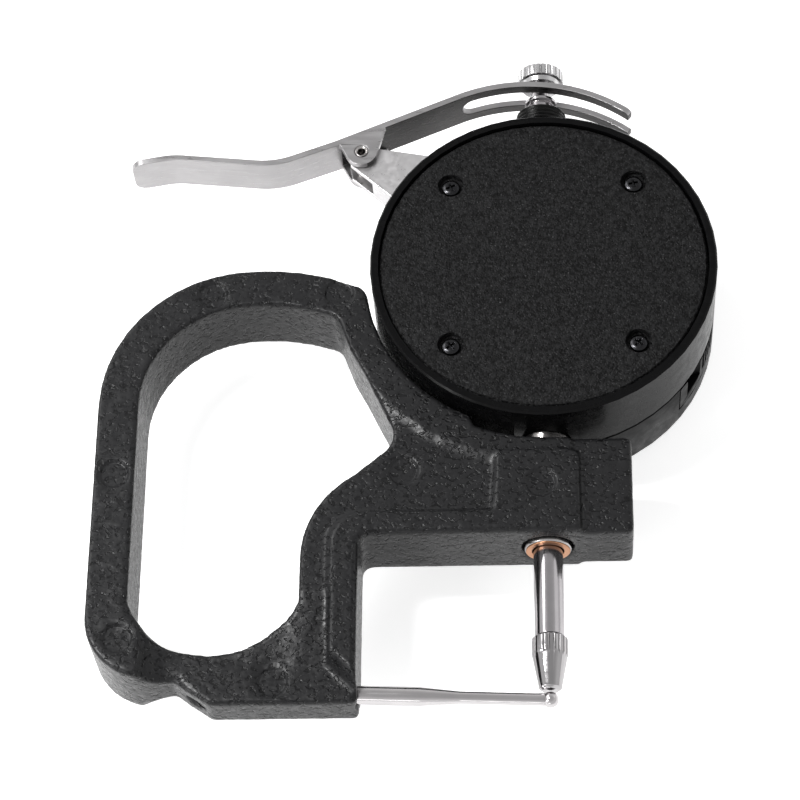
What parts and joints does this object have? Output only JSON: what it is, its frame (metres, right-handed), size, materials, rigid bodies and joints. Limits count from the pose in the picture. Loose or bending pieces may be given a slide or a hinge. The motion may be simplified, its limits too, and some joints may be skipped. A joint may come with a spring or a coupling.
{
  "type": "digital thickness gauge",
  "caption": "Hand-held tube wall thickness gauge: cast loop handle with a throat and fixed pin anvil, round digital head, sliding spindle and a pressed thumb lever that lifts it.",
  "frame": {"origin": "centre of the gauge's box in plan, on the plane of the display rim, on which the gauge lies", "axes": "+Z out of the back cover, +Y along the spindle from the anvil towards the lift cap, +X from the loop handle towards the digital head"},
  "size_m": [0.1064, 0.1254, 0.026],
  "materials": {
    "hammered_black_paint": "glossy black paint with a hammered grain over an aluminium casting",
    "chrome": "bright plated steel",
    "ground_steel": "ground and polished steel",
    "bronze": "plain bearing bronze",
    "black_anodised_sleeve": "black satin coating on a turned sleeve",
    "brass_block": "milled, unpolished",
    "circuit_board": "green board with lacquer",
    "black_case_coating": "smooth satin black coating over a die-cast half",
    "black_drawer_plastic": "smooth satin black",
    "grained_black_coating": "fine leather-like grain, black coating over a cast cover",
    "black_screw_steel": "blackened steel",
    "window_plastic": "clear window over a dark border",
    "lcd_panel": "grey-green liquid crystal panel",
    "button_rubber": "matte grey rubber",
    "nickel": "nickel plated",
    "brushed_sheet_steel": "pressed stainless sheet with a fine lengthwise grain"
  },
  "bodies": {
    "gauge_body": {"frame": "hammered_black_paint", "anvil_pin": "chrome", "stem_grub_screw": "black_screw_steel", "stem": "ground_steel", "stem_bush": "bronze", "upper_stem": "black_anodised_sleeve", "reader_board": "circuit_board", "guide_rod": "ground_steel", "return_spring": "ground_steel", "rear_shell": "black_case_coating", "front_shell": "black_case_coating", "back_cover": "grained_black_coating", "cover_screw_1": "black_screw_steel", "cover_screw_2": "black_screw_steel", "cover_screw_3": "black_screw_steel", "cover_screw_4": "black_screw_steel", "display_lens": "window_plastic", "lcd_panel": "lcd_panel", "circuit_board": "circuit_board", "battery_contact": "nickel", "lever_pin": "ground_steel", "lever_bracket": "brushed_sheet_steel", "bracket_screw_1": "black_screw_steel", "bracket_screw_2": "black_screw_steel"},
    "plunger": {"spindle": "ground_steel", "contact_point": "ground_steel", "lift_cap": "chrome", "slider_block": "brass_block", "scale_strip": "circuit_board"},
    "thumb_lever": {"lever": "brushed_sheet_steel"},
    "zero_key": {"button_zero": "button_rubber"},
    "unit_key": {"button_unit": "button_rubber"},
    "power_key": {"button_power": "button_rubber"},
    "battery_tray": {"battery_drawer": "black_drawer_plastic", "button_cell": "nickel"}
  },
  "joints": [
    {"name": "spindle_lift", "type": "slide", "parent": "gauge_body", "child": "plunger", "axis": [0, 1, 0], "range_m": [0, 0.01], "stiffness_N_per_m": 90, "springref_m": -0.012, "deforming": ["return_spring"]},
    {"name": "lever_press", "type": "hinge", "parent": "gauge_body", "child": "thumb_lever", "pos_m": [-0.00905, 0.04425, 0.0156], "axis": [0, 0, 1], "range_deg": [0, 19.3]},
    {"name": "zero_press", "type": "slide", "parent": "gauge_body", "child": "zero_key", "axis": [0, 0, 1], "range_m": [0, 0.0005], "stiffness_N_per_m": 600, "springref_m": -0.0005},
    {"name": "unit_press", "type": "slide", "parent": "gauge_body", "child": "unit_key", "axis": [0, 0, 1], "range_m": [0, 0.0005], "stiffness_N_per_m": 600, "springref_m": -0.0005},
    {"name": "power_press", "type": "slide", "parent": "gauge_body", "child": "power_key", "axis": [0, 0, 1], "range_m": [0, 0.0005], "stiffness_N_per_m": 600, "springref_m": -0.0005},
    {"name": "battery_pull", "type": "slide", "parent": "gauge_body", "child": "battery_tray", "axis": [0.9135, -0.4067, 0], "range_m": [0, 0.014]}
  ],
  "couplings": [
    {"joint": "lever_press", "follows": "spindle_lift", "rad_per_m": 33.5}
  ]
}
